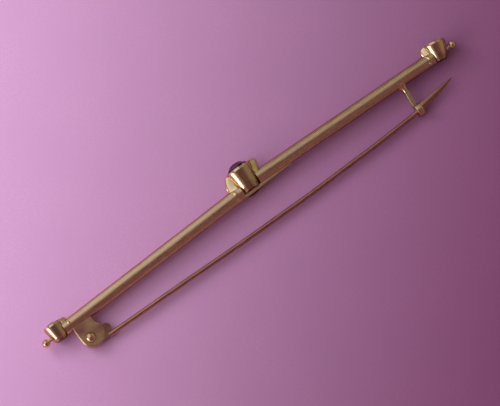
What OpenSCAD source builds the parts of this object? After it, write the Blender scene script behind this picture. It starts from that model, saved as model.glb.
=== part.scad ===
// Amethyst bar brooch lying on its side, in millimetres.
// It is drawn in its own frame first: +X runs along the bar to the catch end, +Y is the
// front where the stones are, +Z is the side that faces up. The last step lays it down.

/* [Bar] */
// Distance between the centres of the two end balls.
ball_span = 63; // [60:0.5:66]
// Radius of an end ball.
ball_r = 0.5; // [0.45:0.05:0.6]
// Radius of the bar beside the centre stone.
bar_mid_r = 0.84; // [0.8:0.01:0.88]
// Radius of the bar beside an end stone.
bar_end_r = 0.8; // [0.76:0.01:0.84]
// Length of the strip that backs the bar behind the centre stone.
strip_length = 13.4; // [8:0.1:14]

/* [Collets] */
// Front radius of the centre collet.
centre_front_r = 1.7; // [1.7:0.01:1.74]
// Depth of the centre collet from its back to its rim.
centre_depth = 3.38; // [3.36:0.02:3.44]
// Front radius of the end collet at the hinge.
end_front_r = 1.22; // [1.2:0.01:1.22]
// Depth of the end collet at the hinge, from its back to its rim.
end_depth = 2.24; // [2.2:0.02:2.3]
// Radius of the rounded lip that is turned over each stone.
lip_r = 0.07; // [0.06:0.01:0.08]
// Gap between a stone and its collet.
stone_gap = 0.03; // [0.02:0.01:0.04]

/* [Stones] */
// Height of the centre stone's table above its rim.
centre_stand = 0.7; // [0.6:0.02:0.76]
// Height of an end stone's table above its rim.
end_stand = 0.2; // [0.15:0.05:0.3]
// Table radius as a share of the girdle radius.
table_share = 0.45; // [0.42:0.01:0.5]

/* [Hinge and pin] */
// Radius of the pin wire.
wire_r = 0.31; // [0.28:0.01:0.32]
// Radius of the rivet's shank.
rivet_r = 0.26; // [0.22:0.01:0.28]
// Radial clearance between the rivet's shank and the pin's eye.
swing_gap = 0.05; // [0.03:0.01:0.08]
// Thickness of each hinge ear.
ear_thick = 0.3; // [0.26:0.01:0.32]
// How far the pin is swung out, 0 when it is closed.
swing = 0; // [0:5:95]

/* [Catch] */
// Width of the hook along the pin.
hook_w = 0.8; // [0.7:0.05:0.9]
// Width of the catch's post along the bar.
post_w = 0.6; // [0.5:0.05:0.7]
// Inner radius of the hook round the pin.
hook_in_r = 0.46; // [0.44:0.01:0.48]
// Thickness of the hook.
hook_thick = 0.36; // [0.3:0.01:0.38]

/* [Hidden] */
$fn = 64;
eps = 0.01;
gold = [0.80, 0.62, 0.28];
violet = [0.36, 0.16, 0.52];

// Each collet: place of its back centre, size, how far its axis leans to the catch end, how
// far its stone stands proud and how steeply its back is cut off.
X = 0;
BACK_Y = 1;
DEPTH = 2;
BACK_R = 3;
FRONT_R = 4;
LEAN = 5;
STAND = 6;
SLANT = 7;
centre_collet = [0.2, -0.01, centre_depth, 1.25, centre_front_r, 2.7, centre_stand, 18];
hinge_end_collet = [-29.61, -0.76, end_depth, 0.93, end_front_r, 0.5, end_stand, 0];
catch_end_collet = [29.22, -0.8, end_depth + 0.16, 0.93, end_front_r + 0.22, 13, end_stand, 0];
collets = [centre_collet, hinge_end_collet, catch_end_collet];
rim_wall = 0.09;
back_wall = 0.25;
girdle_drop = 0.18;
girdle_half = 0.04;

// The bar's centre line: each half is straight, and they meet in a slight bend.
hinge_tip = [-29, 0.03];
hinge_root = [-0.6, 0.65];
catch_root = [0.9, 1.01];
catch_tip = [28.75, -0.01];
strip_start = [-7.27, -0.11];
strip_slope = 0.9;
strip_thick = 0.42;
strip_half = 0.3;

// Shoulders: gussets where the bar climbs the side of a collet.
INSIDE_X = 0;
HIGH_X = 1;
LOW_X = 2;
LOW_Y = 3;
HIGH_Y = 4;
shoulders = [[-0.9, -1.85, -2.7, 0.2, 3.2], [1.2, 2.7, 2.45, 0.3, 3.2],
             [-28.8, -27.78, -27.82, 0, 1.4], [28.7, 27.88, 27.4, 0, 1.7]];
shoulder_half = 0.4;

// Hinge: two ears behind the bar, the pin's tongue between them.
ear = [-26.36, -2.42];
ear_r = 1.54;
ear_neck = [-25.2, -1.4];
slot_half = 0.22;
ear_out = slot_half + ear_thick;
tongue_half = slot_half - 0.07;
rivet = [-26.75, -2.66];
dome_r = 0.66;
head_r = 0.5;
head_gap = 0.02;
eye_r = 0.8;
lobe = [-24.53, -2.83];
lobe_r = 0.64;
neck_end = -23.93;

// Pin wire: where it starts in the tongue, its first slope, then pieces of length and turn.
wire_start = [-24.75, -3.71];
wire_slope = -1.56;
LENGTH = 0;
TURN = 1;
wire_run = [[11.31, -0.6], [7.59, 1.06], [11.03, 1.34], [10.92, 1.37], [6.3, 12.6], [1.21, -6.87]];
bead_r = 1.01 * wire_r;
blade_r = 0.46;
blade_half = 0.18;
blade_length = 5.5;
point_r = 0.05;

// Catch: foot on the bar, leaning post, hook open towards the far side.
foot = [23.18, -0.35];
hook = [23.06, -4.12];
post_x = 22.9;
hook_out_r = hook_in_r + hook_thick;
hook_open = [232, 335];
post_half = 0.2;

// Resting pose: the centre collet's rim, the rivet's far head and the hook's end touch down.
centre_tip = centre_collet[DEPTH] - lip_r;
rim_y = centre_collet[BACK_Y] + centre_tip * cos(centre_collet[LEAN]);
rim_z = -(centre_front_r - lip_r);
hook_foot = [hook[1] + hook_out_r * cos(hook_open[0]), hook_out_r * sin(hook_open[0])];
reach = norm([rim_y - hook_foot[0], hook_foot[1] - rim_z]);
roll = atan2(hook_foot[1] - rim_z, rim_y - hook_foot[0]) + asin(lip_r / reach);
lift = lip_r - rim_z * cos(roll) - rim_y * sin(roll);
far_head_z = (-lift - (rivet[1] - head_r) * sin(roll)) / cos(roll);
depth_shift = 0.38;

// Lays the upright brooch down on its side.
module lying() {
    translate([0, depth_shift, lift]) rotate([roll, 0, 0]) children();
}

// Stands a shape on a collet's back, with the collet's axis as its z axis.
module at_collet(c) {
    translate([c[X], c[BACK_Y], 0]) rotate([0, 0, -c[LEAN]]) rotate([-90, 0, 0]) children();
}

// Round rod between two points of the bar's plane.
module rod(from, to, r_from, r_to) {
    run = to - from;
    translate([from[0], from[1], 0]) rotate([0, 0, atan2(run[1], run[0])])
        rotate([0, 90, 0]) cylinder(h = norm(run), r1 = r_from, r2 = r_to);
}

// Radius of a stone's girdle in its collet.
function girdle_r(c) = c[FRONT_R] - rim_wall - stone_gap - 0.01;

// Height of a stone's girdle above its collet's back.
function girdle_h(c) = c[DEPTH] - girdle_drop;

// Depth of a stone below its girdle.
function pavilion_h(c) = 0.78 * girdle_r(c);

// Outside of a collet without its lip. A slanted back reaches further on the far side.
module collet_cone(c) {
    drop = c[BACK_R] * tan(c[SLANT]) + 0.1;
    taper = (c[FRONT_R] - c[BACK_R]) / (c[DEPTH] - lip_r);
    side = 3 * c[FRONT_R];
    difference() {
        translate([0, 0, -drop])
            cylinder(h = c[DEPTH] - lip_r + drop, r1 = c[BACK_R] - taper * drop, r2 = c[FRONT_R]);
        rotate([-c[SLANT], 0, 0]) translate([-side / 2, -side / 2, -side]) cube(side);
    }
}

// Everything that is open in a collet: the room for the stone, the ledge under it, the back.
module collet_bore(c) {
    ledge_r = 0.88 * girdle_r(c);
    ledge_h = girdle_h(c) - girdle_half - 0.15 * pavilion_h(c);
    translate([0, 0, ledge_h]) cylinder(h = c[DEPTH], r = girdle_r(c) + stone_gap);
    translate([0, 0, -1]) cylinder(h = 1 + eps, r = c[BACK_R] - back_wall);
    cylinder(h = ledge_h + eps, r1 = c[BACK_R] - back_wall, r2 = ledge_r);
}

// Rounded lip turned over the stone.
module collet_lip(c) {
    translate([0, 0, c[DEPTH] - lip_r]) rotate_extrude()
        translate([c[FRONT_R] - lip_r, 0]) circle(r = lip_r, $fn = 32);
}

// Round stone with a table, two rows of crown facets, a girdle and a pointed back.
module cut_stone(c) {
    r = girdle_r(c);
    crown = girdle_drop - girdle_half + c[STAND];
    slab = 0.01;
    hull() {
        translate([0, 0, girdle_half + crown - slab])
            rotate(22.5) cylinder(h = slab, r = table_share * r, $fn = 8);
        translate([0, 0, girdle_half + 0.52 * crown])
            cylinder(h = slab, r = 0.82 * r, $fn = 8);
        translate([0, 0, -girdle_half])
            rotate(11.25) cylinder(h = 2 * girdle_half, r = r, $fn = 16);
        translate([0, 0, -girdle_half - 0.5 * pavilion_h(c)])
            rotate(22.5) cylinder(h = slab, r = 0.56 * r, $fn = 8);
        translate([0, 0, -girdle_half - pavilion_h(c)])
            rotate(22.5) cylinder(h = slab, r = 0.04 * r, $fn = 8);
    }
}

module stone_in(c) {
    lying() at_collet(c) translate([0, 0, girdle_h(c)]) cut_stone(c);
}

// Gusset between a collet and the bar.
module shoulder(s) {
    translate([0, 0, -shoulder_half]) linear_extrude(2 * shoulder_half)
        polygon([[s[INSIDE_X], s[LOW_Y]], [s[LOW_X], s[LOW_Y]], [s[HIGH_X], s[HIGH_Y]],
                 [s[INSIDE_X], s[HIGH_Y]]]);
}

// Ball with its short neck, on one end of the brooch.
module finial(side) {
    translate([side * ball_span / 2, 0, 0]) rotate([0, 90, 0]) sphere(r = ball_r);
    translate([side * (ball_span / 2 - 1.1), 0, 0])
        rotate([0, side * 90, 0]) cylinder(h = 1, r = 0.22);
}

// One hinge ear: a round end on a narrower neck that is soldered to the bar.
module ear_outline() {
    left = ear[0] - ear_r;
    translate(ear) circle(r = ear_r);
    translate([left, ear[1]]) square([ear_neck[0] - left, -0.1 - ear[1]]);
    translate([ear[0], ear[1]])
        polygon([[0, 0], [ear_r, 0.3], ear_neck + [0.25, -0.35] - ear, ear_neck + [0, 0.35] - ear]);
}

module hinge_ears() {
    difference() {
        translate([0, 0, -ear_out]) linear_extrude(2 * ear_out) ear_outline();
        translate([ear[0] - 3, -6, -slot_half]) cube([6, 5.45, 2 * slot_half]);
        translate([rivet[0], rivet[1], -2]) cylinder(h = 4, r = rivet_r + 0.02);
    }
}

// Strip behind the bar that backs the joint at the centre collet.
module backing_strip() {
    translate([strip_start[0], strip_start[1], -strip_half]) rotate([0, 0, strip_slope])
        translate([0, -strip_thick / 2, 0]) cube([strip_length, strip_thick, 2 * strip_half]);
}

// Outline of the hook in the plane across the pin: a ring with its far side left open.
module hook_outline() {
    mid = (hook_open[0] + hook_open[1]) / 2;
    far = 2.5 * hook_out_r;
    difference() {
        circle(r = hook_out_r);
        circle(r = hook_in_r);
        polygon([[0, 0], for (a = [hook_open[0], mid, hook_open[1]]) far * [cos(a), sin(a)]]);
    }
}

module catch() {
    translate([foot[0], foot[1], 0]) rotate([90, 0, 0]) cylinder(h = 0.95, r1 = 0.8, r2 = 0.36);
    post = [post_x, hook[1] + hook_in_r] - foot;
    translate([foot[0], foot[1], -post_half]) rotate([0, 0, atan2(post[1], post[0])])
        translate([0, -post_w / 2, 0]) cube([norm(post) - 0.05, post_w, 2 * post_half]);
    translate([hook[0] - hook_w / 2, hook[1], 0]) rotate([90, 0, 90])
        linear_extrude(hook_w) hook_outline();
}

// All the gold that is soldered together.
module frame() {
    color(gold) lying() {
        difference() {
            union() {
                rod(hinge_tip, hinge_root, bar_end_r, bar_mid_r);
                rod(catch_root, catch_tip, bar_mid_r, bar_end_r);
                for (c = collets) at_collet(c) collet_cone(c);
                for (s = shoulders) shoulder(s);
            }
            for (c = collets) at_collet(c) collet_bore(c);
        }
        for (c = collets) at_collet(c) collet_lip(c);
        for (side = [-1, 1]) finial(side);
        backing_strip();
        hinge_ears();
        catch();
    }
}

module centre_amethyst() {
    color(violet) stone_in(centre_collet);
}

module hinge_end_amethyst() {
    color(violet) stone_in(hinge_end_collet);
}

module catch_end_amethyst() {
    color(violet) stone_in(catch_end_collet);
}

// Rivet with a domed head on the upper side and a flat head on the far side.
module hinge_rivet() {
    head_z = ear_out + head_gap;
    color(gold) lying() translate([rivet[0], rivet[1], 0]) {
        translate([0, 0, -head_z - eps]) cylinder(h = 2 * head_z + 2 * eps, r = rivet_r);
        translate([0, 0, far_head_z]) cylinder(h = -head_z - far_head_z, r = head_r);
        intersection() {
            translate([0, 0, head_z - 0.1]) sphere(r = dome_r);
            translate([-1, -1, head_z]) cube([2, 2, 2]);
        }
    }
}

// Flat tongue of the pin: the eye round the rivet and a round shoulder beside the ears.
module tongue_outline() {
    low = wire_start[1] - 0.2;
    difference() {
        union() {
            translate(rivet) circle(r = eye_r);
            translate([rivet[0], low]) square([lobe[0] - rivet[0], rivet[1] + 0.5 - low]);
            translate(lobe) circle(r = lobe_r);
            translate([lobe[0] - eps, low]) square([neck_end - lobe[0], 0.4]);
        }
        translate(rivet) circle(r = rivet_r + swing_gap);
    }
}

// Round wire that runs on from one piece of the table to the next, with a bead at each turn,
// and ends in a flat blade.
module wire(i) {
    if (i < len(wire_run)) {
        piece = wire_run[i];
        rotate([0, 90, 0]) cylinder(h = piece[LENGTH], r = wire_r);
        translate([piece[LENGTH], 0, 0]) {
            rotate([0, 90, 0]) sphere(r = bead_r);
            rotate([0, 0, piece[TURN]]) wire(i + 1);
        }
    } else {
        translate([0, 0, -blade_half]) linear_extrude(2 * blade_half)
            polygon([[0, -blade_r], [blade_length, -point_r], [blade_length, point_r], [0, blade_r]]);
    }
}

module pin_stem() {
    color(gold) lying() translate([rivet[0], rivet[1], 0]) rotate([0, 0, -swing])
        translate([-rivet[0], -rivet[1], 0]) {
            translate([0, 0, -tongue_half]) linear_extrude(2 * tongue_half) tongue_outline();
            translate([wire_start[0], wire_start[1], 0]) rotate([0, 0, wire_slope]) wire(0);
        }
}

frame();
centre_amethyst();
hinge_end_amethyst();
catch_end_amethyst();
hinge_rivet();
pin_stem();
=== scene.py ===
# %% [markdown]
# # An amethyst bar brooch
#
# A slim gold bar carries a round amethyst in its middle and a smaller one at each end. It lies
# on its side, so the stones look away to the upper left and the pin runs along its back.
# The brooch is about 64 mm long, and the smallest parts are a few tenths of a millimetre, so
# every shape here is written in millimetres and turned into metres only when it is laid down.
#
# The CAD solids give the place of every part. This file gives them their finished surfaces.

# %% Load the frame
import math
from collections import namedtuple
import bpy
import numpy as np
from mathutils import Matrix


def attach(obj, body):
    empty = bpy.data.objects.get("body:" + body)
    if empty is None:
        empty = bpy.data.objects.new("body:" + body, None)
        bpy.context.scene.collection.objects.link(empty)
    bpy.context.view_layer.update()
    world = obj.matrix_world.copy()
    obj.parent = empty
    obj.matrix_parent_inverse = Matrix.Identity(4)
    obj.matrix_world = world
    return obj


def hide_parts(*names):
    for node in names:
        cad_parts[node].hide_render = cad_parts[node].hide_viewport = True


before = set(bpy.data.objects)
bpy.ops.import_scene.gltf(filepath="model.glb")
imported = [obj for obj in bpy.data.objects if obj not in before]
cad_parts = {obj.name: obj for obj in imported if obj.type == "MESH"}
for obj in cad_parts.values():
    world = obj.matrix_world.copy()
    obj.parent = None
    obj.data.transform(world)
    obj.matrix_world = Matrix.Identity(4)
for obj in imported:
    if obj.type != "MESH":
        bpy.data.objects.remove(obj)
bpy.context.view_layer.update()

# %% [markdown]
# ## From the jeweller's drawing to the table
#
# It is easiest to draw a brooch upright: X along the bar to the catch, Y towards the side of
# the stones, Z towards the side that faces up when it lies down. One function then rolls the
# drawing onto its resting points, lifts it and turns millimetres into metres.
# Blender could do this with an object's rotation, but then the patterns of the materials
# would turn as well, so the points themselves are moved.

# %% Lay the drawing down
MM = 0.001
ROLL = math.radians(7.5825)  # until the centre rim, the hook and the rivet touch the table
LIFT = 1.25078  # height of the drawing's origin over the table
SHIFT = 0.38  # puts the middle of the brooch over the table's origin


def lay(points):
    """Rolls points about X, lifts them off the table and gives metres."""
    x, y, z = np.moveaxis(np.asarray(points, float), -1, 0)
    c, s = math.cos(ROLL), math.sin(ROLL)
    return np.stack([x, y * c - z * s + SHIFT, y * s + z * c + LIFT], -1) * MM


print("origin of the drawing, mm:", (lay((0, 0, 0)) / MM).round(3))

# %% [markdown]
# ## Skins
#
# Nearly everything on a brooch is drawn wire, turned work or sheet. All three are a stack of
# rings: a wire's rings follow its length, a turned cup's rings go round its wall, and a
# plate's rings climb over its rounded edge. One function joins neighbouring rings with quads
# and closes the ends. It also looks at the volume of the result, because a skin that is inside
# out has a negative one, and then it turns all the faces over.

# %% Make a skin
def fan_volume(ring):
    """Six times the signed volume between the origin and a ring closed by a fan."""
    middle = ring.mean(0)
    return (np.cross(middle, ring) * np.roll(ring, -1, 0)).sum()


def skin(rings, loop=False, dirt_and_shade=0.0):
    """Joins each ring to the next with quads. The ends are closed by one polygon each, or by
    joining the last ring to the first when loop is true. Gives points, faces, and the number for
    dirt and painted shade at each point. Six times the signed volume is the sum of (a x b) . c
    over the triangles of the faces."""
    rows, cols = rings.shape[:2]
    index = np.arange(rows * cols).reshape(rows, cols)
    here, there = (index, np.roll(index, -1, 0)) if loop else (index[:-1], index[1:])
    quads = np.stack([here, np.roll(here, -1, 1), np.roll(there, -1, 1), there], -1)
    quads = quads.reshape(-1, 4)
    points = rings.reshape(-1, 3)
    a, b, c, d = (points[quads[:, k]] for k in range(4))
    volume = (np.cross(a, b) * c).sum() + (np.cross(a, c) * d).sum()
    faces = quads.tolist()
    if not loop:
        first, last = points[index[0]], points[index[-1]]
        volume += fan_volume(first[::-1]) + fan_volume(last)
        faces += [index[0][::-1].tolist(), index[-1].tolist()]
    if volume < 0:
        faces = [face[::-1] for face in faces]
    spread = np.broadcast_to(np.asarray(dirt_and_shade, float), (rows, cols)).reshape(-1)
    return points, faces, spread


square = np.array([(0, 0), (1, 0), (1, 1), (0, 1)], float)
tube = np.stack([np.c_[square, np.full(4, height)] for height in (0.0, 1.0, 2.0)])
print("faces of a square tube with 3 rings:", len(skin(tube)[1]))

# %% [markdown]
# A piece is one mesh object that moves with one body of the frame. It can hold several skins,
# as a soldered part does. Its points carry a number for dirt and painted shade, which the gold
# reads later.

# %% Make a piece
def piece(name, skins, finish, body="brooch", stands_for=(), crease=40):
    """Puts one or more skins into one mesh object that rides on a body of the frame."""
    points, faces, dirt_and_shade, start = [], [], [], 0
    for p, f, g in skins:
        points.append(p)
        dirt_and_shade.append(g)
        faces += [[k + start for k in face] for face in f]
        start += len(p)
    points = np.concatenate(points)
    mesh = bpy.data.meshes.new(name)
    mesh.from_pydata(lay(points).tolist(), [], faces)
    stored = mesh.attributes.new("dirt_and_shade", "FLOAT", "POINT")
    stored.data.foreach_set("value", np.concatenate(dirt_and_shade))
    mesh.shade_smooth()
    mesh.set_sharp_from_angle(angle=math.radians(crease))
    mesh.materials.append(finish)
    made = bpy.data.objects.new(name, mesh)
    bpy.context.collection.objects.link(made)
    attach(made, body)
    if stands_for:
        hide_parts(*stands_for)
    print(f"{name}: {len(points)} points, {len(faces)} faces")


# %% [markdown]
# ## Gold
#
# Old nine carat gold is a soft warm yellow. It has been handled for a century, so its polish
# is broken by fine scratches and it is a little redder where copper has come out. A dark colour
# goes into corners and recesses and onto the sides of some parts as painted shade, and onto a
# few parts as dirt. The base colour of a metal is the colour of its reflection, so the material
# mixes two golds and then the dirt and painted shade. All patterns come from noise on the
# object's own coordinates, and three small helpers join the nodes.

# %% Helpers for the nodes
def link(tree, start, end):
    """Joins an output socket to an input socket."""
    tree.links.new(start, end)


def noise(tree, size, stretch=(1, 1, 1), detail=3):
    """Noise whose grains are about size millimetres wide, longer where stretch is above 1."""
    place = tree.nodes.new("ShaderNodeTexCoord")
    mapping = tree.nodes.new("ShaderNodeMapping")
    mapping.inputs["Scale"].default_value = [1000 / (size * s) for s in stretch]
    grain = tree.nodes.new("ShaderNodeTexNoise")
    grain.inputs["Scale"].default_value = 1
    grain.inputs["Detail"].default_value = detail
    link(tree, place.outputs["Object"], mapping.inputs["Vector"])
    link(tree, mapping.outputs["Vector"], grain.inputs["Vector"])
    return grain.outputs["Fac"]


def remap(tree, value, low, high, to_low, to_high):
    """Stretches the range low..high to to_low..to_high and holds it there."""
    node = tree.nodes.new("ShaderNodeMapRange")
    ends = {"From Min": low, "From Max": high, "To Min": to_low, "To Max": to_high}
    for key, number in ends.items():
        node.inputs[key].default_value = number
    link(tree, value, node.inputs["Value"])
    return node.outputs["Result"]


def blend(tree, factor, first, second):
    """Mixes two colours; each is a socket or a fixed colour."""
    node = tree.nodes.new("ShaderNodeMix")
    node.data_type = "RGBA"
    link(tree, factor, node.inputs["Factor"])
    for socket, colour in ((node.inputs["A"], first), (node.inputs["B"], second)):
        if isinstance(colour, tuple):
            socket.default_value = colour
        else:
            link(tree, colour, socket)
    return node.outputs["Result"]


# %% [markdown]
# One recipe gives every gold part its finish. The patches, the scratches, the dirt and the
# painted shade differ from part to part: the bar was drawn and wiped along its length, the
# collets were turned and burnished, the solder is lumpy and gets a paler, brighter gold as a
# painted highlight, and the hinge and the pin, which are handled most, have gone to copper red.
# At a grazing angle gold of this kind mirrors less than a perfect mirror would, which the tint
# of the edge gives.

# %% Gold finishes
YELLOW = (0.87, 0.66, 0.33, 1)
RED = (0.78, 0.48, 0.27, 1)
COPPER = (0.58, 0.30, 0.20, 1)
PAINTED_HIGHLIGHT_YELLOW = (0.95, 0.76, 0.36, 1)
# The dark colour of both dirt and painted shade.
GRIME_AND_SHADE = (0.06, 0.035, 0.02, 1)
EDGE_TINT = (0.2, 0.15, 0.15, 1)
PATCH_SIZE, GRIME_AND_SHADE_SIZE, MARK_SIZE = 1.6, 0.25, 0.12  # millimetres
MARK_DEPTH = 0.02


def gold(name, grain=(1, 1, 1), polish=0.2, scratch=0.25, red=0.5, pale=YELLOW, deep=RED):
    """Gold with patches from pale to deep, dirt and painted shade where the points carry them, and
    marks along its grain. A higher red makes the deep patches larger. The dirt and painted shade
    is the number stored at the points, times one plus or minus a quarter of noise, which makes
    its edge ragged. The marks give the roughness, from 0.75 to 1.5 times polish, and the bump."""
    material = bpy.data.materials.new(name)
    material.use_nodes = True
    tree = material.node_tree
    shader = tree.nodes["Principled BSDF"]
    shader.inputs["Metallic"].default_value = 1
    shader.inputs["Specular Tint"].default_value = EDGE_TINT
    metals = noise(tree, PATCH_SIZE, grain, 2)
    patches = remap(tree, metals, 0.62 - 0.3 * red, 0.9 - 0.3 * red, 0, 1)
    # Painted shade and dirt: the number stored at the points pulls the colour towards the dark.
    dirt_and_shade = tree.nodes.new("ShaderNodeAttribute")
    dirt_and_shade.attribute_name = "dirt_and_shade"
    ragged = tree.nodes.new("ShaderNodeMath")
    ragged.operation = "MULTIPLY_ADD"
    link(tree, remap(tree, noise(tree, GRIME_AND_SHADE_SIZE), 0.35, 0.65, -0.25, 0.25), ragged.inputs[1])
    link(tree, dirt_and_shade.outputs["Fac"], ragged.inputs[0])
    link(tree, dirt_and_shade.outputs["Fac"], ragged.inputs[2])
    grime_and_shade = remap(tree, ragged.outputs[0], 0.15, 1, 0, 0.9)
    colour = blend(tree, grime_and_shade, blend(tree, patches, pale, deep), GRIME_AND_SHADE)
    link(tree, colour, shader.inputs["Base Color"])
    marks = noise(tree, MARK_SIZE, grain, 4)
    rough = remap(tree, marks, 0.3, 0.75, polish * 0.75, polish * 1.5)
    link(tree, rough, shader.inputs["Roughness"])
    bump = tree.nodes.new("ShaderNodeBump")
    bump.inputs["Strength"].default_value = scratch
    bump.inputs["Distance"].default_value = MARK_DEPTH * MM
    link(tree, marks, bump.inputs["Height"])
    link(tree, bump.outputs["Normal"], shader.inputs["Normal"])
    return material


bar_gold = gold("gold_bar", grain=(14, 1, 1), polish=0.27, scratch=0.4)
cup_gold = gold("gold_cup", grain=(1, 3, 1), polish=0.15, scratch=0.2, red=0.4)
ball_gold = gold("gold_ball", polish=0.16, scratch=0.15)
# The shoulders and solder get a paler, brighter gold than the rest: a painted highlight.
solder_gold = gold("gold_solder", polish=0.16, scratch=0.5, red=0.1, pale=PAINTED_HIGHLIGHT_YELLOW, deep=YELLOW)
hinge_gold = gold("gold_hinge", polish=0.2, scratch=0.5, red=0.8, deep=COPPER)
catch_gold = gold("gold_catch", polish=0.24, scratch=0.4)
pin_gold = gold("gold_pin", grain=(20, 1, 1), polish=0.25, scratch=0.3, red=1.2, pale=RED,
                deep=COPPER)
print("gold finishes:", [m.name for m in bpy.data.materials if m.name.startswith("gold_")])

# %% [markdown]
# ## The bar
#
# Two lengths of round wire, each a little thicker beside the centre stone, meet there at a
# slight angle. Wire that was hammered and filed by hand is never quite true, so each half bows
# very slightly and its radius breathes by about a hundredth of a millimetre. The section is
# carried along the line: each ring is nearly a circle, square to the line's heading there.
# A cylinder with a bend deformer would be quicker, but it couldn't follow measured stations.
# The sides of the bar are darkened with painted shade, which dims their grazing reflections.

# %% The bar
BAR_LINE = {  # x, y of the centre line and radius
    "bar_hinge_half": [(-28.75, 0.1, 0.84), (-21.69, 0.24, 0.86), (-16.32, 0.34, 0.87),
                       (-10.36, 0.5, 0.88), (-1.0, 0.7, 0.89)],
    "bar_catch_half": [(1.55, 1.04, 0.88), (7.63, 0.84, 0.87), (13.69, 0.6, 0.87),
                       (19.72, 0.4, 0.86), (28.5, 0.06, 0.84)],
}
BAR_COLS = 72


def circle(count):
    """Angles at even steps round a circle."""
    return np.linspace(0, 2 * math.pi, count, endpoint=False)


def smooth(t):
    """A step from 0 to 1 with level ends: 3t squared minus 2t cubed."""
    t = np.clip(t, 0, 1)
    return t * t * (3 - 2 * t)


def carry(path, heading, u, v):
    """Carries a section along a line in the XY plane. A point of it is path + u * side + v * up,
    where side is square to the heading and up is Z."""
    side = np.stack([-np.sin(heading), np.cos(heading), 0 * heading], -1)
    start = np.concatenate([path, 0 * path[:, :1]], -1)
    return start[:, None] + u[..., None] * side[:, None] + v[..., None] * np.array([0, 0, 1.0])


def bar_half(stations, rows=160, cols=BAR_COLS):
    """Rings of a bar. The centre line is the parabola nearest to the stations, and the radius
    runs straight from one to the next, plus less than two hundredths of slow sine waves."""
    x, y, r = np.array(stations).T
    at = np.linspace(x[0], x[-1], rows)
    curve = np.polyfit(x, y, 2)
    path = np.stack([at, np.polyval(curve, at)], -1)
    heading = np.arctan(np.polyval(np.polyder(curve), at))
    angle = circle(cols)[None]
    at = at[:, None]
    wave = 0.008 * np.sin(2 * angle + 0.21 * at) + 0.005 * np.sin(3 * angle - 0.6 * at)
    radius = np.interp(at, x, r) + wave
    return carry(path, heading, radius * np.cos(angle), radius * np.sin(angle))


# Painted shade on the bar's sides, darkest where they face the stones or the pin.
side_shade = 0.55 * smooth((np.abs(np.cos(circle(BAR_COLS))) - 0.72) / 0.28)
for name, stations in BAR_LINE.items():
    piece(name, [skin(bar_half(stations), dirt_and_shade=side_shade[None])], bar_gold, stands_for=("frame",))

# %% [markdown]
# ## Outlines
#
# The collets and all sheet parts start as an outline with soft corners. A corner is rounded
# by the arc that touches both of its sides, which is what a file does to it at the bench.

# %% Round the corners of an outline
def rounded(corners, radii, steps=8):
    """Replaces each corner of a closed outline by an arc that touches both sides.
    The arc turns from the foot on one side to the foot on the other about a centre on the
    corner's bisector."""
    p = np.asarray(corners, float)
    r = np.broadcast_to(np.asarray(radii, float), len(p))[:, None]
    to_last, to_next = np.roll(p, 1, 0) - p, np.roll(p, -1, 0) - p
    to_last /= np.linalg.norm(to_last, axis=1, keepdims=True)
    to_next /= np.linalg.norm(to_next, axis=1, keepdims=True)
    half = np.arccos(np.clip((to_last * to_next).sum(1), -1, 1))[:, None] / 2
    bisector = (to_last + to_next) / np.linalg.norm(to_last + to_next, axis=1, keepdims=True)
    centre = p + bisector * r / np.sin(half)
    start = p + to_last * r / np.tan(half) - centre
    end = p + to_next * r / np.tan(half) - centre
    turn = (math.pi - 2 * half)[:, None]
    t = np.linspace(0, 1, steps)[None, :, None]
    arc = (np.sin((1 - t) * turn) * start[:, None] + np.sin(t * turn) * end[:, None]) / np.sin(turn)
    return (centre[:, None] + arc).reshape(-1, 2)


def even(outline, spacing):
    """Points at even distances along a closed outline."""
    closed = np.vstack([outline, outline[:1]])
    length = np.r_[0, np.cumsum(np.linalg.norm(np.diff(closed, axis=0), axis=1))]
    at = np.linspace(0, length[-1], int(length[-1] / spacing), endpoint=False)
    return np.stack([np.interp(at, length, closed[:, k]) for k in (0, 1)], -1)


print("points of the square with rounded corners:", len(rounded(square, 0.2)))

# %% [markdown]
# ## Collets
#
# Each stone sits in a collet, a cone of sheet gold. Its front edge is pushed over the stone
# as a rounded lip, inside there is a ledge for the stone, and the back is open to let light
# in. A collet is turned work: one closed profile of radius and height goes round the axis.
# The walls were shaped by hand, so the radius wavers slightly from true.

# %% The sizes of the collets
Collet = namedtuple("Collet", "x y depth back_r front_r lean slant stand")
COLLETS = {  # middle of the back, sizes, lean and slant of the back in degrees, stone's height
    "centre": Collet(0.2, -0.01, 3.38, 1.25, 1.7, 2.7, 18, 0.7),
    "hinge_end": Collet(-29.61, -0.76, 2.24, 0.93, 1.22, 0.5, 0, 0.2),
    "catch_end": Collet(29.22, -0.8, 2.4, 0.93, 1.44, 13, 0, 0.2),
}
BACK_WALL = 0.25
RIM_WALL = 0.09
STONE_GAP = 0.03
GIRDLE_DROP = 0.18
GIRDLE_HALF = 0.04


def stand_on(collet, points):
    """Moves points from a collet's own axes, Z along its axis, into the brooch: they are laid
    from Z to Y, leaned about Z and moved to the middle of the collet's back."""
    lean = math.radians(collet.lean)
    x, y, z = points[..., 0], points[..., 2], -points[..., 1]
    x, y = x * math.cos(lean) + y * math.sin(lean), y * math.cos(lean) - x * math.sin(lean)
    return np.stack([x + collet.x, y + collet.y, z], -1)


def girdle(collet):
    """Radius and height of the stone's widest part."""
    return collet.front_r - RIM_WALL - STONE_GAP - 0.01, collet.depth - GIRDLE_DROP


for name, collet in COLLETS.items():
    print(f"{name}: the stone is {2 * girdle(collet)[0]:.2f} mm wide")

# %% [markdown]
# The profile runs up the outside wall, over the lip, down to the stone's seat and back along
# the inside. Painted shade darkens the narrow back part of the cup, inside and outside, and
# grows as the profile's radius falls below the stone's.

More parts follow.
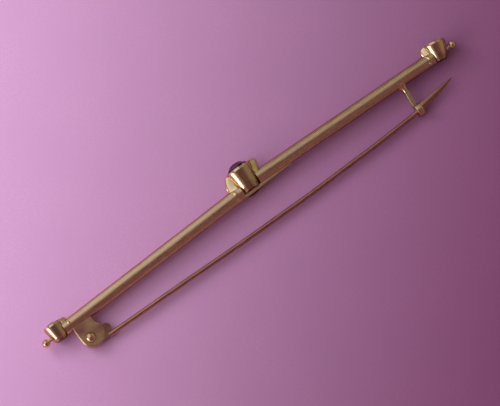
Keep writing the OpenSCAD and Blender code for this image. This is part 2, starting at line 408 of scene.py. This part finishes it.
# %% Turn the collets
def turned(collet, profile, cols=160, waver=0.012):
    """Turns a closed profile of radius and height round the collet's axis. The radius wavers by
    two sines of the angle. The back is filed off at a slant, so a point's height sinks by its y
    times the slant, less towards the rim."""
    angle = circle(cols)[None]
    radius, height = profile[:, :1], profile[:, 1:]
    oval = waver * 0.5 * np.sin(2 * angle + 1)
    lobes = waver * 0.3 * np.sin(5 * angle) * height / 4
    radius = radius * (1 + oval + lobes)
    x, y = radius * np.cos(angle), radius * np.sin(angle)
    slant = math.tan(math.radians(collet.slant)) * np.clip(1 - height / (0.8 * collet.depth), 0, 1)
    return stand_on(collet, np.stack([x, y, height - y * slant], -1))


def collet_profile(collet):
    """Outside wall, lip, seat, ledge and inside wall of a collet, as one closed outline."""
    depth, back, front = collet.depth, collet.back_r, collet.front_r
    girdle_r, girdle_h = girdle(collet)
    seat = girdle_h - GIRDLE_HALF - 0.12 * girdle_r
    corners = [(back - 0.2, 0), (back + 0.06, 0.18 * depth), (front, depth - 0.3),
               (front - 0.06, depth), (front - 0.15, depth), (girdle_r + STONE_GAP, depth - 0.12),
               (girdle_r + STONE_GAP, seat), (0.88 * girdle_r, seat - 0.02), (back - BACK_WALL, 0)]
    radii = [0.02, 0.2, 0.25, 0.05, 0.03, 0.03, 0.02, 0.05, 0.02]
    return even(rounded(corners, radii, 10), 0.04)


for name, collet in COLLETS.items():
    profile = collet_profile(collet)
    # Painted shade inside the cup and on its narrow back.
    inside = smooth((girdle(collet)[0] - 0.05 - profile[:, 0]) / 0.3) * 0.5
    piece(name + "_collet", [skin(turned(collet, profile), loop=True, dirt_and_shade=inside[:, None])],
          cup_gold, stands_for=("frame",))

# %% [markdown]
# ## The amethysts
#
# Each stone is round with a flat table, a ring of crown facets, a thin girdle and a pointed
# back. The facets are flat, and light enters through them and comes back from the ones behind,
# so the stone must be a closed solid of clear violet glass and not a painted cap.
# The points lie on rings: culet, breaks, lower girdle, upper girdle, kites and table. Every
# facet keeps its edge, because any crease above one degree stays sharp.

# %% Amethysts
QUARTZ_IOR = 1.544
DEEP_VIOLET = (0.50, 0.18, 0.50, 1)
PALE_VIOLET = (0.68, 0.38, 0.64, 1)
TABLE_SHARE = 0.45
PAVILION_SHARE = 0.78


def amethyst(name):
    """Clear violet quartz with zones of a paler violet and a little wear on its polish."""
    material = bpy.data.materials.new(name)
    material.use_nodes = True
    tree = material.node_tree
    shader = tree.nodes["Principled BSDF"]
    shader.inputs["Transmission Weight"].default_value = 1
    shader.inputs["IOR"].default_value = QUARTZ_IOR
    zones = remap(tree, noise(tree, 1.2, detail=1), 0.35, 0.7, 0, 1)
    link(tree, blend(tree, zones, DEEP_VIOLET, PALE_VIOLET), shader.inputs["Base Color"])
    link(tree, remap(tree, noise(tree, 0.2), 0.5, 0.8, 0.01, 0.06), shader.inputs["Roughness"])
    return material


def cut_stone(collet, sides=8):
    """Rings of a round stone with 2 * sides points each. Every second point is a main one, where
    the table has its corners. The points between lie on the table's straight edges, and a
    little further out than the main ones on the kites and the breaks."""
    r, middle = girdle(collet)
    crown = GIRDLE_DROP + collet.stand - GIRDLE_HALF
    deep = PAVILION_SHARE * r
    main = np.arange(2 * sides) % 2 == 0
    ones = np.ones(2 * sides)
    table = np.where(main, TABLE_SHARE * r, TABLE_SHARE * r * math.cos(math.pi / sides))
    rings = [  # radius, and height over the girdle's middle
        (0.04 * r * ones, -GIRDLE_HALF - deep * ones),
        (np.where(main, 0.50, 0.56) * r, -GIRDLE_HALF - 0.5 * deep * ones),
        (r * ones, -GIRDLE_HALF * ones),
        (r * ones, GIRDLE_HALF * ones),
        (np.where(main, 0.80 * r, 0.83 * r), GIRDLE_HALF + np.where(main, 0.52, 0.5) * crown),
        (table, (GIRDLE_HALF + crown) * ones),
    ]
    angle = circle(2 * sides)
    return stand_on(collet, np.stack([
        np.stack([radius * np.cos(angle), radius * np.sin(angle), height + middle], -1)
        for radius, height in rings]))


violet = amethyst("amethyst")
for name, collet in COLLETS.items():
    piece(name + "_stone", [skin(cut_stone(collet))], violet, stands_for=(name + "_amethyst",),
          crease=1)

# %% [markdown]
# ## Ball ends
#
# A small ball of melted gold, soldered on a short neck, ends the brooch on each side.
# Ball and neck are one turned shape: the radius along the axis is the larger of the ball's
# circle and the neck, with a soft hollow between them.

# %% Ball ends
BALL_SPAN = 63  # between the middles of the two balls
BALL_R = 0.5
NECK_LENGTH = 1.3
NECK_R = 0.2
HOLLOW = 40  # a lower number makes a wider hollow


def ball_end(side, rows=60, cols=64):
    """Rings along X. The radius is a soft maximum of the ball's circle and the neck: the
    logarithm of the sum of e to the power of each. The rings lie closer towards the tip."""
    reach = np.linspace(0, 1, rows)
    along = -NECK_LENGTH + (NECK_LENGTH + BALL_R) * (1 - (1 - reach) ** 2)
    ball = np.sqrt(np.clip(BALL_R ** 2 - along ** 2, 1e-6, None))
    neck = np.where(along < 0, NECK_R + 0.1 * smooth((-0.75 - along) / 0.5), 0)
    radius = np.logaddexp(ball * HOLLOW, neck * HOLLOW) / HOLLOW
    radius = np.where(along > 0, ball, radius)[:, None]
    x = side * (BALL_SPAN / 2 + along)
    angle = circle(cols)
    return np.stack([x[:, None] + 0 * angle, radius * np.cos(angle), radius * np.sin(angle)], -1)


for name, side in (("hinge_end_ball", -1), ("catch_end_ball", 1)):
    piece(name, [skin(ball_end(side))], ball_gold, stands_for=("frame",))

# %% [markdown]
# ## Backing strip
#
# A narrow strip of gold lies behind the bar and bridges the joint at the centre collet.
# It is a rounded rectangle carried along a straight line, a little thinner at its two ends.

# %% Backing strip
STRIP_X = (-7.27, 6.12)
STRIP_Y = -0.11
STRIP_LENGTH = 13.4
STRIP_SLOPE = math.radians(0.9)
STRIP_ROWS = 120
STRIP_CORNERS = [(-0.21, -0.3), (0.21, -0.3), (0.21, 0.3), (-0.21, 0.3)]

climb = np.linspace(0, STRIP_LENGTH, STRIP_ROWS) * math.tan(STRIP_SLOPE)
strip_line = np.stack([np.linspace(*STRIP_X, STRIP_ROWS), STRIP_Y + climb], -1)
strip_section = even(rounded(STRIP_CORNERS, 0.07), 0.03)
row = np.arange(STRIP_ROWS)
thin = smooth(np.minimum(row, row[::-1]) / 3 + 0.5)[:, None]
strip = carry(strip_line, np.full(STRIP_ROWS, STRIP_SLOPE),
              strip_section[:, 0] * thin, strip_section[:, 1] * thin)
piece("backing_strip", [skin(strip, dirt_and_shade=0.1)], bar_gold, stands_for=("frame",))

# %% [markdown]
# ## Shoulders and solder
#
# Where the bar meets a collet its end was splayed and soldered, so a shoulder of gold climbs the
# side of the collet almost to the rim. It is a stack of level rings. Each ring is half an
# ellipse that stands out from the collet's wall, closed by a shallow one inside the wall.
# At three of the bar's ends the solder has run round the bar too. It froze in lumps, so there
# the skin is a short sleeve with ripples.

# %% Shoulders and solder
SHOULDERS = [  # x inside the collet's wall, then rows of y, outer x and half width
    (-1.15, [(0.2, -2.2, 0.6), (1.0, -2.75, 0.7), (1.45, -2.62, 0.62), (1.7, -2.47, 0.52),
             (2.3, -2.36, 0.42), (2.9, -2.0, 0.35), (3.22, -1.8, 0.3), (3.33, -1.6, 0.2),
             (3.36, -1.4, 0.1)]),
    (1.75, [(0.4, 2.2, 0.6), (1.3, 2.5, 0.72), (1.84, 2.48, 0.66), (2.04, 2.58, 0.62),
            (2.82, 2.86, 0.56), (3.15, 2.84, 0.5), (3.33, 2.6, 0.4), (3.4, 2.3, 0.15)]),
    (-28.55, [(-0.3, -28.1, 0.6), (0.3, -27.8, 0.7), (0.75, -27.83, 0.66), (1.08, -27.73, 0.58),
              (1.32, -27.77, 0.46), (1.44, -28.0, 0.3), (1.47, -28.2, 0.1)]),
    (28.4, [(-0.3, 27.8, 0.6), (0.4, 27.45, 0.64), (1.02, 27.44, 0.52), (1.37, 27.5, 0.44),
            (1.7, 27.69, 0.36), (1.82, 27.87, 0.28), (1.86, 28.1, 0.12)]),
]
SOLDER = [  # ends in x, y of the middle, radius, and a number that moves the lumps
    ((-2.7, -1.2), 0.7, 0.9, 1.0),
    ((-28.3, -27.4), 0.15, 0.86, 2.0),
    ((27.3, 28.3), 0.1, 0.86, 0.5),
]


def shoulder(inside, table, rows=56, cols=56):
    """Rings at even steps through the rows of the table, rounded off by a running mean. A ring's
    x is a cosine, up to the outer x outside the wall and 0.1 inside it, and its z a sine."""
    knots = np.array(table)
    at = np.linspace(0, len(knots) - 1, rows)
    steps = (np.interp(at, np.arange(len(knots)), column) for column in knots.T)
    mean = np.ones(7) / 7
    y, outer, half_z = (np.convolve(np.pad(s, 3, "edge"), mean, "valid")[:, None] for s in steps)
    angle = circle(cols)[None]
    out = np.cos(angle)
    x = inside + np.where(out > 0, outer - inside, 0.1 * np.sign(outer - inside)) * out
    return np.stack([x, y + 0 * angle, half_z * np.sin(angle)], -1)


def solder(ends, middle_y, radius, seed, rows=40, cols=56):
    """A lumpy sleeve round the bar's end: its radius is a flattened half sine along it, with
    ripples round and along it that make the lumps."""
    t = np.linspace(0, 1, rows)[:, None]
    angle = circle(cols)[None]
    lumps = 0.1 * np.sin(3 * angle + seed) * np.sin(5 * t + seed) + 0.07 * np.sin(5 * angle - 9 * t)
    r = radius * np.sin(math.pi * np.clip(t, 0.02, 0.98)) ** 0.3 * (1 + lumps)
    x = ends[0] + (ends[1] - ends[0]) * t
    return np.stack([x + 0 * angle, middle_y + r * np.cos(angle), r * np.sin(angle)], -1)


piece("shoulders", [skin(shoulder(*s)) for s in SHOULDERS] + [skin(solder(*s)) for s in SOLDER],
      solder_gold, stands_for=("frame",))

# %% [markdown]
# ## The hinge
#
# Two ears of sheet gold stand behind the bar with a slot between them for the pin. They are
# cut with the piercing saw, so they are plates with an outline, and their edges are softened.
# Blender's Bevel modifier could soften them, but rings that climb over the edge give the same
# round and keep every plate one closed skin. A small block joins the ears to the bar.

# %% Hinge ears
EAR_OUT = 0.52
SLOT_HALF = 0.22
EAR_CORNERS = [(-27.93, -0.05), (-27.88, -3.96), (-24.75, -3.96), (-24.75, -1.95), (-25.2, -1.4),
               (-25.2, -0.05)]
EAR_RADII = [0.05, 1.5, 1.5, 0.4, 0.25, 0.05]
EAR_EDGE = 0.11
BLOCK_CORNERS = [(-27.85, -0.55), (-25.25, -0.55), (-25.25, 0.1), (-27.85, 0.1)]
BLOCK_HALF = 0.4


def outward(outline):
    """Unit directions out of a closed outline, square to the line between a point's neighbours.
    The outline's area, by the shoelace sum, is negative if it runs clockwise."""
    following = np.roll(outline, -1, 0)
    along = following - np.roll(outline, 1, 0)
    out = np.stack([along[:, 1], -along[:, 0]], -1) / np.linalg.norm(along, axis=1, keepdims=True)
    area = (outline[:, 0] * following[:, 1] - outline[:, 1] * following[:, 0]).sum()
    return out if area > 0 else -out


def plate(outline, low, high, edge, steps=6):
    """A flat plate with rounded edges. Its rings climb from the lower face over a quarter
    circle to the side, up the side and over another quarter circle to the upper face."""
    out = outward(outline)
    angle = np.linspace(0, math.pi / 2, steps)
    sink, drop = edge * (1 - np.sin(angle)), edge * (1 - np.cos(angle))
    inset = np.r_[1.6 * edge, sink, sink[::-1], 1.6 * edge]
    rise = np.r_[low, low + drop, high - drop[::-1], high]
    flat = outline[None] - out[None] * inset[:, None, None]
    height = np.broadcast_to(rise[:, None, None], flat.shape[:2] + (1,))
    return np.concatenate([flat, height], -1)


ear_outline = even(rounded(EAR_CORNERS, EAR_RADII, 24), 0.06)
ears = [skin(plate(ear_outline, low, high, EAR_EDGE))
        for low, high in ((SLOT_HALF, EAR_OUT), (-EAR_OUT, -SLOT_HALF))]
block = plate(even(rounded(BLOCK_CORNERS, 0.1), 0.06), -BLOCK_HALF, BLOCK_HALF, 0.05)
piece("hinge_ears", ears + [skin(block)], hinge_gold, stands_for=("frame",))

# %% [markdown]
# ## The rivet
#
# A wire through ears and pin, hammered into a dome on the upper side and flat on the far side.
# It is turned about the upright line through the hinge. Painted shade darkens the foot of the
# dome where it meets the ear, and the shank and the far head a little.

# %% Rivet
RIVET = (-26.75, -2.66)
RIVET_R = 0.26
DOME_R, DOME_RISE = 0.655, 0.54
FLAT_R, FLAT_FACE_R = 0.5, 0.44
HEAD_GAP = 0.02  # between a head and its ear


def turned_up(centre, profile, cols=72):
    """Turns radius and height pairs round an upright axis at centre."""
    angle = circle(cols)[None]
    r, h = profile[:, :1], profile[:, 1:]
    x, y = centre[0] + r * np.cos(angle), centre[1] + r * np.sin(angle)
    return np.stack([x, y, h + 0 * angle], -1)


# The flat head's edge touches the table, so its height in the drawing follows from the roll.
far_head = (-LIFT - (RIVET[1] - FLAT_R) * math.sin(ROLL)) / math.cos(ROLL)
shank = [(0.01, far_head), (FLAT_FACE_R, far_head), (FLAT_R, far_head + 0.06),
         (FLAT_R, -EAR_OUT - 0.08), (FLAT_FACE_R, -EAR_OUT - HEAD_GAP),
         (RIVET_R, -EAR_OUT - HEAD_GAP), (RIVET_R, EAR_OUT + HEAD_GAP), (0.62, EAR_OUT + HEAD_GAP)]
turn = np.linspace(0, math.pi / 2, 24)
dome = np.stack([DOME_R * np.cos(turn), EAR_OUT + 0.03 + DOME_RISE * np.sin(turn)], -1)
dome[-1, 0] = 0.01
rivet_profile = np.vstack([shank, dome])
# Painted shade on the rivet, strongest at the foot of the dome.
rivet_shade = np.interp(np.arange(len(rivet_profile)), [0, 6, 8, 11, 40], [0.1, 0.3, 0.8, 0.0, 0])
piece("rivet", [skin(turned_up(RIVET, rivet_profile), dirt_and_shade=rivet_shade[:, None])], hinge_gold,
      stands_for=("hinge_rivet",))

# %% [markdown]
# ## The pin
#
# The pin starts as a flat tongue with an eye round the rivet and a round shoulder beside the
# ears. From there a round wire runs to the catch in a very slight bow, and beyond the hook it
# is hammered and filed to a blade with a ridge. The wire's heading is a function of the
# distance along it, and adding up its steps gives the line. The section changes from a circle
# to a pointed oval.

# %% The wire
WIRE_START = (-24.75, -3.71)
WIRE_R = 0.31
WIRE_STEP = 0.12
WIRE_BENDS = [  # distance along the wire and its heading there, in degrees
    (0, -1.56), (10.2, -1.58), (12.3, -2.12), (17.7, -2.13), (20.1, -1.18), (28.8, -1.08),
    (31.2, 0.24), (39.6, 0.32), (42, 1.62), (46.6, 1.62), (47.6, 13.6), (47.9, 13.4),
    (48.9, 7.3), (53.7, 7.3)]
BLADE_FROM = 47.6
BLADE_TO = 53.7
BLADE_WIDE = ([0, 0.08, 0.2, 0.45, 0.8, 0.97, 1], [WIRE_R, 0.44, 0.48, 0.43, 0.26, 0.1, 0.02])
BLADE_THICK = ([0, 0.12, 0.3, 0.6, 0.9, 1], [WIRE_R, 0.27, 0.22, 0.17, 0.1, 0.02])


def wire_rings(step=WIRE_STEP, cols=48):
    """The wire's line is the running sum of its heading. Up to the blade the section is a
    circle; along the blade its width and thickness follow their own tables, and the exponent
    of the cosine and of the sine sharpens the oval to a ridge."""
    s = np.arange(0, BLADE_TO + step / 2, step)
    at, degrees = np.array(WIRE_BENDS).T
    heading = np.radians(np.interp(s, at, degrees))
    line = np.stack([np.cumsum(np.cos(heading)), np.cumsum(np.sin(heading))], -1) * step
    line += WIRE_START - line[0]
    t = np.clip((s - BLADE_FROM) / (BLADE_TO - BLADE_FROM), 0, 1)
    wide, thick = np.interp(t, *BLADE_WIDE)[:, None], np.interp(t, *BLADE_THICK)[:, None]
    ridge = smooth(t / 0.15)[:, None]
    across, up = np.cos(circle(cols))[None], np.sin(circle(cols))[None]
    u = wide * np.sign(across) * np.abs(across) ** (1 + 0.7 * ridge)
    v = thick * np.sign(up) * np.abs(up) ** (1 + 0.5 * ridge)
    return carry(line, heading, u, v), line


rings, wire_line = wire_rings()
print("wire ends at", wire_line[-1].round(3))

# %% [markdown]
# The tongue is a plate whose mouth fits round the eye, and the eye is a turned ring with a
# small gap round the rivet. Tongue, eye and wire move as one, so they are one piece. Painted
# shade darkens the eye most and the tongue less, where they sit low in the slot between the
# ears, and there is a little dirt on the blade.

# %% The tongue and the whole pin
EYE_R = 0.8
EYE_GAP = 0.05
TONGUE_HALF = 0.15
MOUTH_R = 0.55
LOBE, LOBE_R = (-24.53, -2.83), 0.64


def arc(centre, radius, first, last, count):
    """Points of an arc about centre, at even angles from first to last, in degrees."""
    turn = np.linspace(math.radians(first), math.radians(last), count)
    return np.stack([centre[0] + radius * np.cos(turn), centre[1] + radius * np.sin(turn)], -1)


tongue_outline = np.vstack([
    arc(RIVET, MOUTH_R, 300, 60, 20), [(-26.15, -2.11)], arc(LOBE, LOBE_R, 110, -50, 30),
    [(-23.65, -3.65), (-23.65, -3.83), (-24.85, -3.91), (-26.35, -3.83)]])
tongue = plate(even(tongue_outline, 0.05), -TONGUE_HALF, TONGUE_HALF, 0.04)
eye_corners = [(RIVET_R + EYE_GAP, -TONGUE_HALF), (EYE_R, -TONGUE_HALF), (EYE_R, TONGUE_HALF),
               (RIVET_R + EYE_GAP, TONGUE_HALF)]
eye = turned_up(RIVET, even(rounded(eye_corners, 0.04), 0.03))
blade_dirt = 0.35 * smooth((np.arange(len(rings)) * WIRE_STEP - BLADE_FROM) / 1.0)
# Painted shade on the eye and the tongue in the slot between the ears; a little dirt on the blade.
piece("pin", [skin(rings, dirt_and_shade=blade_dirt[:, None]), skin(tongue, dirt_and_shade=0.4),
              skin(eye, loop=True, dirt_and_shade=0.7)], pin_gold, body="pin", stands_for=("pin_stem",))

# %% [markdown]
# ## The catch
#
# A strip of gold stands on a flared foot behind the bar and ends in a hook that goes over the
# pin. The foot is turned, the post is a plate, and the hook is a strip carried round an arc.

# %% Catch
FOOT = (23.18, -0.35)
FOOT_TIP_R, FOOT_FLARE = 0.33, 0.47
POST_CORNERS = [(22.97, -0.98), (22.63, -3.64), (23.19, -3.71), (23.53, -0.98)]
POST_HALF = 0.2
HOOK = (23.06, -4.12)
HOOK_IN = 0.46
HOOK_THICK = 0.36
HOOK_WIDE = 0.8
HOOK_FROM, HOOK_TO = -25, 232  # degrees round the hook's middle
HOOK_TAPER = 0.35  # radians before the free end


def foot_rings(rows=30, cols=64):
    """Rings down from the bar, over one millimetre: the radius falls from 0.8 to 0.33 by a
    power of 2.2, which makes a hollow curve."""
    t = np.linspace(0, 1, rows)
    r = (FOOT_TIP_R + FOOT_FLARE * (1 - t) ** 2.2)[:, None]
    angle = circle(cols)[None]
    y = (FOOT[1] - 1.0 * t)[:, None]
    return np.stack([FOOT[0] + r * np.cos(angle), y + 0 * angle, r * np.sin(angle)], -1)


def hook_rings(rows=90):
    """A rounded strip carried round the hook's circle, from the post over the top and down
    the far side. Near the free end its thickness falls to a tenth as a quarter circle does,
    and its width to a little over half."""
    a = np.radians(np.linspace(HOOK_FROM, HOOK_TO, rows))[:, None]
    section = even(rounded([(-0.5, -0.5), (0.5, -0.5), (0.5, 0.5), (-0.5, 0.5)], 0.18), 0.06)
    end = np.sqrt(1 - np.clip(1 - (np.radians(HOOK_TO) - a) / HOOK_TAPER, 0, 0.995) ** 2)
    radius = HOOK_IN + HOOK_THICK / 2 + section[:, 0] * HOOK_THICK * end
    across = section[:, 1] * HOOK_WIDE * (0.6 + 0.4 * end)
    return np.stack([HOOK[0] + across, HOOK[1] + radius * np.cos(a), radius * np.sin(a)], -1)


post = plate(even(rounded(POST_CORNERS, 0.08), 0.05), -POST_HALF, POST_HALF, 0.07)
piece("catch", [skin(foot_rings()), skin(post, dirt_and_shade=0.3), skin(hook_rings())], catch_gold,
      stands_for=("frame",))

# %% [markdown]
# ## Table
#
# The table is a plain pale paper in pink and violet, with soft clouds, a fine speckle and a very
# fine tooth. Towards the dark side of the room its colour is painted deeper and darker, a painted
# shade that adds to the fall-off of the lamps. The tint follows the place on the paper: the
# distance from a line between the window's side and the far side, through the origin.

# %% Table
AWAY_FROM_DARK = (-0.69, 0.72, 0)  # from the dark side to the window, on the table
DARK_EDGE, LIGHT_EDGE = -0.048, 0.046  # metres that way at which the tints are reached
# The pink at the far side and at the window's side; the step between them is painted shade.
SHADED_PINK = (0.33, 0.105, 0.22, 1)
LIT_PINK = (0.90, 0.525, 0.78, 1)
CLOUD = (0.94, 0.93, 0.95, 1)
SPECKLE = (0.95, 0.93, 0.95, 1)
WHITE = (1, 1, 1, 1)
TABLE_HALF = 1.5  # metres


def paper(name):
    """Matt paper. Its colour is a pink that is painted deeper away from the window, a painted
    shade, times the clouds and the speckle, and its bump is a fine noise, the tooth."""
    material = bpy.data.materials.new(name)
    material.use_nodes = True
    tree = material.node_tree
    shader = tree.nodes["Principled BSDF"]
    shader.inputs["Roughness"].default_value = 0.9
    shader.inputs["Specular IOR Level"].default_value = 0.1
    place = tree.nodes.new("ShaderNodeTexCoord")
    across = tree.nodes.new("ShaderNodeVectorMath")
    across.operation = "DOT_PRODUCT"
    across.inputs[1].default_value = AWAY_FROM_DARK
    link(tree, place.outputs["Object"], across.inputs[0])
    # Painted shade: the paper's pink deepens and darkens away from the window.
    depth = remap(tree, across.outputs["Value"], DARK_EDGE, LIGHT_EDGE, 0, 1)
    depth.node.interpolation_type = "SMOOTHSTEP"
    tint = blend(tree, depth, SHADED_PINK, LIT_PINK)
    clouds = remap(tree, noise(tree, 9), 0.3, 0.7, 0, 1)
    specks = remap(tree, noise(tree, 0.3), 0.4, 0.6, 0, 1)
    shade = blend(tree, clouds, CLOUD, blend(tree, specks, SPECKLE, WHITE))
    both = tree.nodes.new("ShaderNodeMix")
    both.data_type = "RGBA"
    both.blend_type = "MULTIPLY"
    both.inputs["Factor"].default_value = 1
    link(tree, tint, both.inputs["A"])
    link(tree, shade, both.inputs["B"])
    link(tree, both.outputs["Result"], shader.inputs["Base Color"])
    bump = tree.nodes.new("ShaderNodeBump")
    bump.inputs["Strength"].default_value = 0.3
    bump.inputs["Distance"].default_value = 0.05 * MM
    link(tree, noise(tree, 0.5, detail=6), bump.inputs["Height"])
    link(tree, bump.outputs["Normal"], shader.inputs["Normal"])
    return material


table_mesh = bpy.data.meshes.new("table")
signs = ((-1, -1), (1, -1), (1, 1), (-1, 1))
table_corners = [(x * TABLE_HALF, y * TABLE_HALF, 0) for x, y in signs]
table_mesh.from_pydata(table_corners, [], [(0, 1, 2, 3)])
table_mesh.materials.append(paper("paper"))
table = bpy.data.objects.new("table", table_mesh)
bpy.context.collection.objects.link(table)
print("table, metres wide:", 2 * TABLE_HALF)

# %% [markdown]
# ## Room
#
# Polished gold shows the room more than itself, so the room is drawn with care: a dim wine-red
# dark, one wide window at the front left and one bright pane low at the left end. The hinge half
# of the bar still mirrors the window and the catch half, which points a few degrees further
# round, mirrors the dimmer wall beside it. Each part is a soft-edged block of directions in a
# table. The picture is shown as it is measured, without a film curve.

# %% Room
ROOM = {  # colour, then the span of the direction's x, y and z, and how soft the edges are
    "window": ((0.60, 0.62, 0.86), (-0.62, 0.165), (0.04, 2), (0.12, 1.0), (0.03, 0.15, 0.25)),
    "front_wall": ((0.04, 0.075, 0.03), (0.165, 0.9), (0.1, 2), (0.2, 1.5), (0.03, 0.15, 0.3)),
    "side_pane": ((2.4, 2.4, 2.9), (-2, -0.87), (-0.35, 0.4), (-0.1, 0.5), (0.05, 0.08, 0.08)),
    "left_glow": ((0.24, 0.22, 0.25), (-2, -0.65), (-2, 2), (-0.2, 1.5), (0.2, 0.2, 0.2)),
    "right_wall": ((0.12, 0.13, 0.08), (0.5, 2), (-2, 2), (-0.2, 1.5), (0.3, 0.2, 0.2)),
    "back_wall": ((0.06, 0.02, 0.04), (-2, 2), (-2, -0.45), (-0.3, 1.5), (0.2, 0.15, 0.2)),
    "ceiling": ((0.09, 0.07, 0.05), (-2, 2), (-0.12, 2), (0.6, 2), (0.1, 0.12, 0.2)),
}
DARK = (0.10, 0.053, 0.072, 1)


def room(name):
    """World light by direction: the dark, plus each part's colour times six soft steps, one up
    and one down for each axis. A span that ends beyond 1 has no edge there."""
    world = bpy.data.worlds.new(name)
    world.use_nodes = True
    tree = world.node_tree
    place = tree.nodes.new("ShaderNodeTexCoord")
    split = tree.nodes.new("ShaderNodeSeparateXYZ")
    link(tree, place.outputs["Generated"], split.inputs[0])
    total = DARK
    for colour, *spans, soft in ROOM.values():
        mask = None
        for axis, (low, high), edge in zip(split.outputs, spans, soft):
            for nothing, all_of_it in ((low - edge, low + edge), (high + edge, high - edge)):
                step = remap(tree, axis, nothing, all_of_it, 0, 1)
                step.node.interpolation_type = "SMOOTHSTEP"
                if mask is not None:
                    both = tree.nodes.new("ShaderNodeMath")
                    both.operation = "MULTIPLY"
                    link(tree, mask, both.inputs[0])
                    link(tree, step, both.inputs[1])
                    step = both.outputs[0]
                mask = step
        add = tree.nodes.new("ShaderNodeMix")
        add.data_type, add.blend_type = "RGBA", "ADD"
        link(tree, mask, add.inputs["Factor"])
        add.inputs["B"].default_value = (*colour, 1)
        if isinstance(total, tuple):
            add.inputs["A"].default_value = total
        else:
            link(tree, total, add.inputs["A"])
        total = add.outputs["Result"]
    link(tree, total, tree.nodes["Background"].inputs["Color"])
    return world


bpy.context.scene.world = room("room")
bpy.context.scene.view_settings.view_transform = "Standard"
print("parts of the room:", list(ROOM))

# %% [markdown]
# ## Light
#
# The paper is lit by two soft lamps at the front left, so close that the table is darker on the
# far side. The lower one draws the long soft shadow behind the bar, and the higher one fills it
# near the hinge. The gold doesn't mirror them, because it has the window already.

# %% Light
COOL_WHITE = (1.0, 0.97, 1.1)


def facing(place, away):
    """The matrix of a lamp or camera at a place that looks along -away, with its top up."""
    right = np.cross((0, 0, 1), away)
    right /= np.linalg.norm(right)
    rows = np.eye(4)
    rows[:3, :3] = np.stack([right, np.cross(away, right), away], -1)
    rows[:3, 3] = place
    return Matrix(rows.tolist())


def soft_light(name, place, size, radiance):
    """A square lamp at a place in millimetres that faces the middle of the brooch. Its power is
    radiance times its area times pi. It leaves the gold's reflections alone."""
    lamp = bpy.data.lights.new(name, "AREA")
    lamp.size = size * MM
    lamp.energy = radiance * lamp.size ** 2 * math.pi
    lamp.color = COOL_WHITE
    holder = bpy.data.objects.new(name, lamp)
    holder.visible_glossy = False
    bpy.context.collection.objects.link(holder)
    away = np.array(place, float)
    holder.matrix_world = facing(away * MM, away / np.linalg.norm(away))
    print(f"{name}: {np.linalg.norm(away):.0f} mm away, {lamp.energy * 1000:.1f} mW")


soft_light("daylight", (-62, 95, 68), size=65, radiance=4.5)
soft_light("high_light", (-80, 20, 75), size=70, radiance=1.6)

# %% [markdown]
# ## Camera
#
# The camera looks down steeply, from a little towards the hinge end and from the pin's side, so
# the bar runs from the lower left to the upper right. It stands 400 mm away, as for a picture of
# a small thing with a long lens. The lens follows from how many pixels of a picture 500 wide one
# millimetre takes at that distance.

# %% Camera
AZIMUTH, ELEVATION = math.radians(-37.539), math.radians(73.717)
DISTANCE = 400  # millimetres
PIXELS_PER_MM = 8.0972
PICTURE_WIDTH = 500
SENSOR_WIDTH = 36
TARGET = np.array([-0.7805, -0.2494, -0.1967]) * MM

toward = np.array([math.sin(AZIMUTH) * math.cos(ELEVATION),
                   -math.cos(AZIMUTH) * math.cos(ELEVATION), math.sin(ELEVATION)])
lens = bpy.data.cameras.new("camera")
lens.sensor_width = SENSOR_WIDTH
lens.lens = SENSOR_WIDTH * PIXELS_PER_MM * DISTANCE / PICTURE_WIDTH
lens.clip_start, lens.clip_end = 0.01, 10
camera = bpy.data.objects.new("camera", lens)
bpy.context.collection.objects.link(camera)
camera.matrix_world = facing(TARGET + toward * (DISTANCE * MM), toward)
bpy.context.scene.camera = camera
print("lens, mm:", round(lens.lens, 2))
